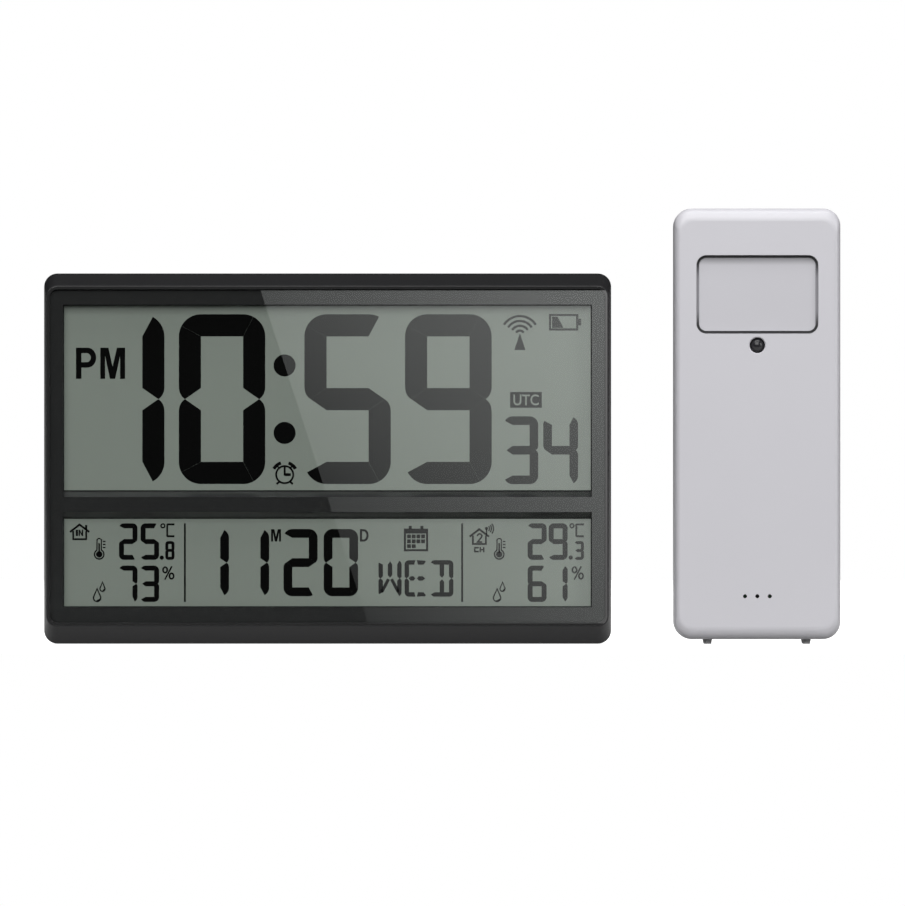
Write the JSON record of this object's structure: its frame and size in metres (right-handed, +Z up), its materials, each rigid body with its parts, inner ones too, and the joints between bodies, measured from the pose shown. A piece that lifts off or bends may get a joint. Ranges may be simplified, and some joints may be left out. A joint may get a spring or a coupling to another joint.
{
  "type": "thermometer hygrometer clock",
  "caption": "Flat rectangular table clock with a wide segment display for time, date, temperature and humidity, a fold-out stand, and its slim upright wireless sensor.",
  "frame": {"origin": "underside of the clock, at the middle of its width, on the surface that both units stand on", "axes": "+X to the right of someone who reads the display, +Y from the display to the back, +Z up"},
  "size_m": [0.2386, 0.0284, 0.1304],
  "materials": {
    "black_abs": "moulded, fine satin",
    "clear_acrylic": "polished, clear",
    "lcd_film": "grey-green polarising film",
    "lcd_glass": "thin float glass",
    "lcd_reflector_foil": "matt grey-green reflector film",
    "white_abs": "moulded, matt",
    "zebra_rubber": "layered elastomer",
    "circuit_board": "solder mask over glass fibre",
    "black_epoxy": "cast drop",
    "component_metal": "satin can",
    "switch_plastic": "moulded",
    "ferrite": "pressed and sintered, matt",
    "copper_winding": "enamelled wire",
    "buzzer_brass": "rolled disc",
    "contact_nickel": "nickel plated spring steel",
    "cell_jacket": "printed film jacket",
    "grey_button_abs": "moulded, satin",
    "zinc_screw": "zinc plated",
    "silver_abs": "moulded, fine silver satin",
    "milky_lens": "pale tinted sheet",
    "dark_gasket": "moulded foam rubber",
    "smoked_lamp": "smoked dome",
    "foot_rubber": "soft, matt"
  },
  "bodies": {
    "clock": {"clock_front_case": "black_abs", "clock_rear_case": "black_abs", "clock_window": "clear_acrylic", "lcd_front_polariser": "lcd_film", "lcd_front_glass": "lcd_glass", "lcd_rear_glass": "lcd_glass", "lcd_reflector": "lcd_reflector_foil", "lcd_carrier": "white_abs", "lcd_zebra_strip": "zebra_rubber", "main_board": "circuit_board", "board_screws": "zinc_screw", "processor_blob": "black_epoxy", "board_components": "component_metal", "key_switches": "switch_plastic", "radio_receiver": "circuit_board", "clock_case_screws": "zinc_screw", "clock_batteries": "cell_jacket", "clock_battery_plates": "contact_nickel", "clock_battery_springs": "contact_nickel", "buzzer": "buzzer_brass", "indoor_sensor_board": "circuit_board", "ferrite_rod": "ferrite", "antenna_coil": "copper_winding"},
    "stand": {"table_stand": "black_abs"},
    "clock_door": {"clock_battery_door": "black_abs"},
    "set_button_body": {"set_button": "grey_button_abs"},
    "up_button_body": {"up_button": "grey_button_abs"},
    "down_button_body": {"down_button": "grey_button_abs"},
    "alarm_button_body": {"alarm_button": "grey_button_abs"},
    "channel_button_body": {"channel_button": "grey_button_abs"},
    "zone_button_body": {"zone_button": "grey_button_abs"},
    "sensor": {"sensor_front_case": "silver_abs", "sensor_rear_case": "silver_abs", "sensor_window": "milky_lens", "sensor_window_gasket": "dark_gasket", "sensor_lcd": "lcd_glass", "sensor_zebra_strip": "zebra_rubber", "sensor_board": "circuit_board", "sensor_lamp": "smoked_lamp", "humidity_element": "switch_plastic", "sensor_antenna": "copper_winding", "sensor_seal": "dark_gasket", "sensor_case_screws": "zinc_screw", "sensor_feet": "foot_rubber", "sensor_batteries": "cell_jacket", "sensor_battery_plates": "contact_nickel", "sensor_battery_springs": "contact_nickel", "channel_switch_body": "component_metal", "transmit_switch": "switch_plastic"},
    "sensor_door": {"sensor_battery_door": "silver_abs"},
    "channel_switch": {"channel_switch_knob": "grey_button_abs"},
    "transmit_key": {"transmit_button": "grey_button_abs"}
  },
  "joints": [
    {"name": "stand_hinge", "type": "hinge", "parent": "clock", "child": "stand", "pos_m": [0, 0.0125, 0.056], "axis": [1, 0, 0], "range_deg": [0, 40]},
    {"name": "clock_battery_door_hinge", "type": "hinge", "parent": "clock", "child": "clock_door", "pos_m": [0.048, 0.0131, 0.0121], "axis": [-1, 0, 0], "range_deg": [0, 85]},
    {"name": "set_button_press", "type": "slide", "parent": "clock", "child": "set_button_body", "axis": [0, -1, 0], "range_m": [0, 0.0007], "stiffness_N_per_m": 400},
    {"name": "up_button_press", "type": "slide", "parent": "clock", "child": "up_button_body", "axis": [0, -1, 0], "range_m": [0, 0.0007], "stiffness_N_per_m": 400},
    {"name": "down_button_press", "type": "slide", "parent": "clock", "child": "down_button_body", "axis": [0, -1, 0], "range_m": [0, 0.0007], "stiffness_N_per_m": 400},
    {"name": "alarm_button_press", "type": "slide", "parent": "clock", "child": "alarm_button_body", "axis": [0, -1, 0], "range_m": [0, 0.0007], "stiffness_N_per_m": 400},
    {"name": "channel_button_press", "type": "slide", "parent": "clock", "child": "channel_button_body", "axis": [0, -1, 0], "range_m": [0, 0.0007], "stiffness_N_per_m": 400},
    {"name": "zone_button_press", "type": "slide", "parent": "clock", "child": "zone_button_body", "axis": [0, -1, 0], "range_m": [0, 0.0007], "stiffness_N_per_m": 400},
    {"name": "sensor_place", "type": "slide", "parent": "clock", "child": "sensor", "axis": [1, 0, 0], "range_m": [0, 0.1]},
    {"name": "sensor_battery_door_hinge", "type": "hinge", "parent": "sensor", "child": "sensor_door", "pos_m": [0.1287, 0.0092, 0.0186], "axis": [-1, 0, 0], "range_deg": [0, 85]},
    {"name": "channel_switch_slide", "type": "slide", "parent": "sensor", "child": "channel_switch", "axis": [1, 0, 0], "range_m": [-0.002, 0.002]},
    {"name": "transmit_button_press", "type": "slide", "parent": "sensor", "child": "transmit_key", "axis": [0, -1, 0], "range_m": [0, 0.0006], "stiffness_N_per_m": 300}
  ]
}
